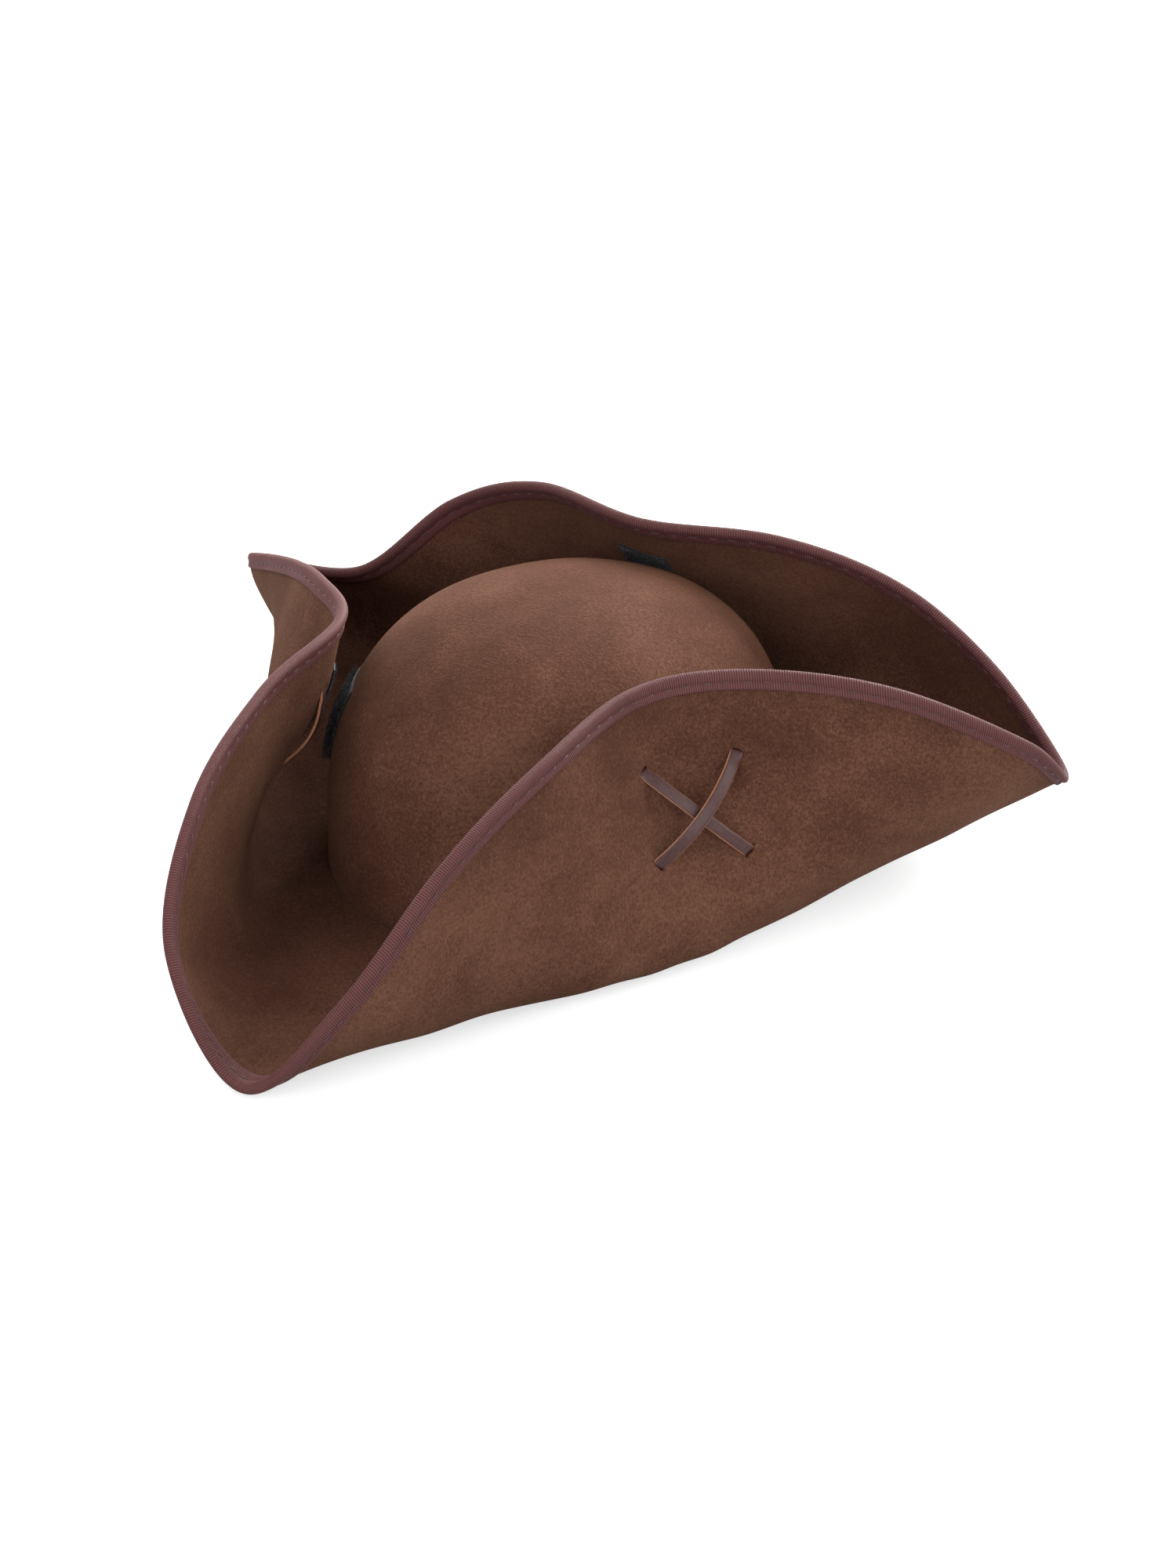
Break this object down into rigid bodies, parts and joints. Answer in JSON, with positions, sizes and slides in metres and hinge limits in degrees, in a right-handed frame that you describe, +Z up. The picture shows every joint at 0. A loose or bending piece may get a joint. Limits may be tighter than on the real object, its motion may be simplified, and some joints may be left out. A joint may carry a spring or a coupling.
{
  "type": "pirate hat",
  "caption": "Soft three-cornered hat: a domed crown inside a brim folded up into flaps, with a ribbon-bound edge, crossed leather lacing and hook-and-loop fastened flaps.",
  "frame": {"origin": "centre of the head opening, on the plane that the hat rests on", "axes": "+Z up through the crown, -Y towards the front corner, +X to the right of someone facing that corner, towards the right corner"},
  "size_m": [0.3996, 0.3617, 0.1199],
  "materials": {
    "suede_cloth": "brushed faux suede, matt",
    "lining_cloth": "plain woven, slightly satin",
    "sweatband_tape": "ribbed tape",
    "thread": "spun thread",
    "ribbon": "ribbed grosgrain, soft sheen",
    "wire": "drawn wire",
    "loop_tape": "fuzzy loops",
    "hook_tape": "fine stiff hooks",
    "leather_thong": "smooth face with pale cut edges"
  },
  "bodies": {
    "hat_body": {"crown_shell": "suede_cloth", "crown_lining": "lining_cloth", "sweatband": "sweatband_tape", "sweatband_stitching": "thread", "seam_tape": "sweatband_tape", "brim_base": "suede_cloth", "right_crown_pad": "loop_tape", "back_crown_pad": "loop_tape", "left_crown_pad": "loop_tape", "front_corner_binding": "ribbon", "right_corner_binding": "ribbon", "left_corner_binding": "ribbon"},
    "right_flap_body": {"right_flap": "suede_cloth", "right_binding": "ribbon", "right_binding_stitching": "thread", "right_edge_wire": "wire", "right_flap_pad": "hook_tape", "right_lace": "leather_thong"},
    "back_flap_body": {"back_flap": "suede_cloth", "back_binding": "ribbon", "back_binding_stitching": "thread", "back_edge_wire": "wire", "back_flap_pad": "hook_tape"},
    "left_flap_body": {"left_flap": "suede_cloth", "left_binding": "ribbon", "left_binding_stitching": "thread", "left_edge_wire": "wire", "left_flap_pad": "hook_tape", "left_lace": "leather_thong"}
  },
  "joints": [
    {"name": "right_flap_fold", "type": "hinge", "parent": "hat_body", "child": "right_flap_body", "pos_m": [0.105, -0.075, 0.018], "axis": [0.5001, 0.8602, 0.1], "range_deg": [0, 20]},
    {"name": "left_flap_fold", "type": "hinge", "parent": "hat_body", "child": "left_flap_body", "pos_m": [-0.102, -0.074, 0.018], "axis": [0.4614, -0.8826, -0.0903], "range_deg": [0, 20]},
    {"name": "back_flap_fold", "type": "hinge", "parent": "hat_body", "child": "back_flap_body", "pos_m": [0, 0.118, 0.022], "axis": [-1, 0, 0], "range_deg": [0, 8]}
  ]
}
